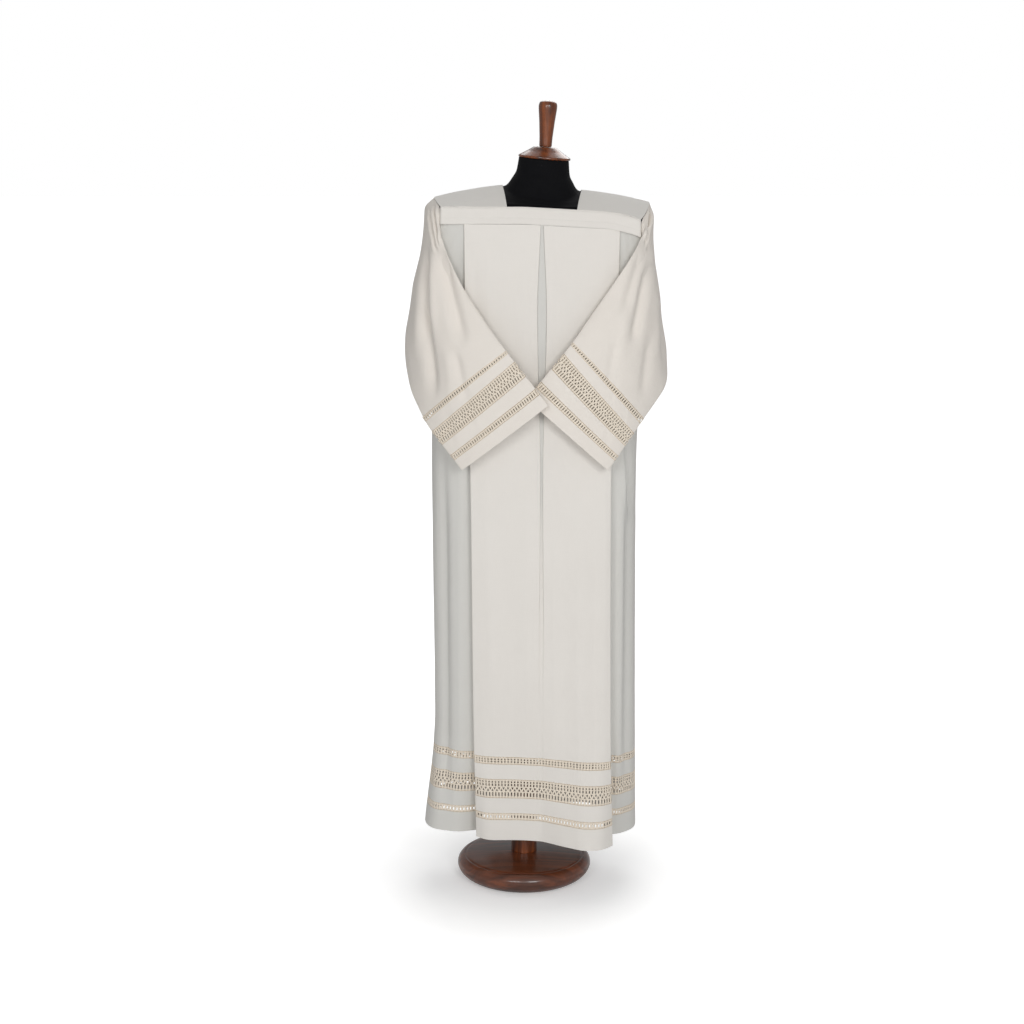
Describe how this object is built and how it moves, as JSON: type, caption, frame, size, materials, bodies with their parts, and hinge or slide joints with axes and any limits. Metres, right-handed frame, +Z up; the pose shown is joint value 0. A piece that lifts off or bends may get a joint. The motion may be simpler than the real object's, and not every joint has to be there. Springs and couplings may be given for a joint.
{
  "type": "alb on a limbless dress form",
  "caption": "Ivory alb with a square neck, box pleats and ladder lace at hem and cuffs, hung on a limbless black dress form with a turned wooden cap, handle, pole and foot",
  "frame": {"origin": "middle of the underside of the turned foot, on the floor", "axes": "+Z up, -Y is the front of the alb, +X towards the right of someone who looks at the front"},
  "size_m": [0.6008, 0.3611, 1.8269],
  "materials": {
    "linen": "matte plain weave, ivory",
    "lace": "matte openwork ladder lace, ecru",
    "jersey": "matte black jersey",
    "wood": "turned and varnished, reddish brown"
  },
  "bodies": {
    "root": {"front_hem": "linen", "front_lower_lace": "lace", "front_lower_strip": "linen", "front_wide_lace": "lace", "front_upper_strip": "linen", "front_upper_lace": "lace", "front_panel": "linen", "back_hem": "linen", "back_lower_lace": "lace", "back_lower_strip": "linen", "back_wide_lace": "lace", "back_upper_strip": "linen", "back_upper_lace": "lace", "back_panel": "linen", "left_shoulder": "linen", "right_shoulder": "linen", "front_band": "linen", "back_band": "linen", "left_sleeve_upper": "linen", "left_sleeve_elbow": "linen", "left_sleeve_lower": "linen", "left_cuff_hem": "linen", "left_cuff_lower_lace": "lace", "left_cuff_lower_strip": "linen", "left_cuff_wide_lace": "lace", "left_cuff_upper_strip": "linen", "left_cuff_upper_lace": "lace", "right_sleeve_upper": "linen", "right_sleeve_elbow": "linen", "right_sleeve_lower": "linen", "right_cuff_hem": "linen", "right_cuff_lower_lace": "lace", "right_cuff_lower_strip": "linen", "right_cuff_wide_lace": "lace", "right_cuff_upper_strip": "linen", "right_cuff_upper_lace": "lace", "form_torso": "jersey", "neck_cap": "wood", "neck_handle": "wood", "pole": "wood", "foot": "wood"}
  },
  "joints": []
}
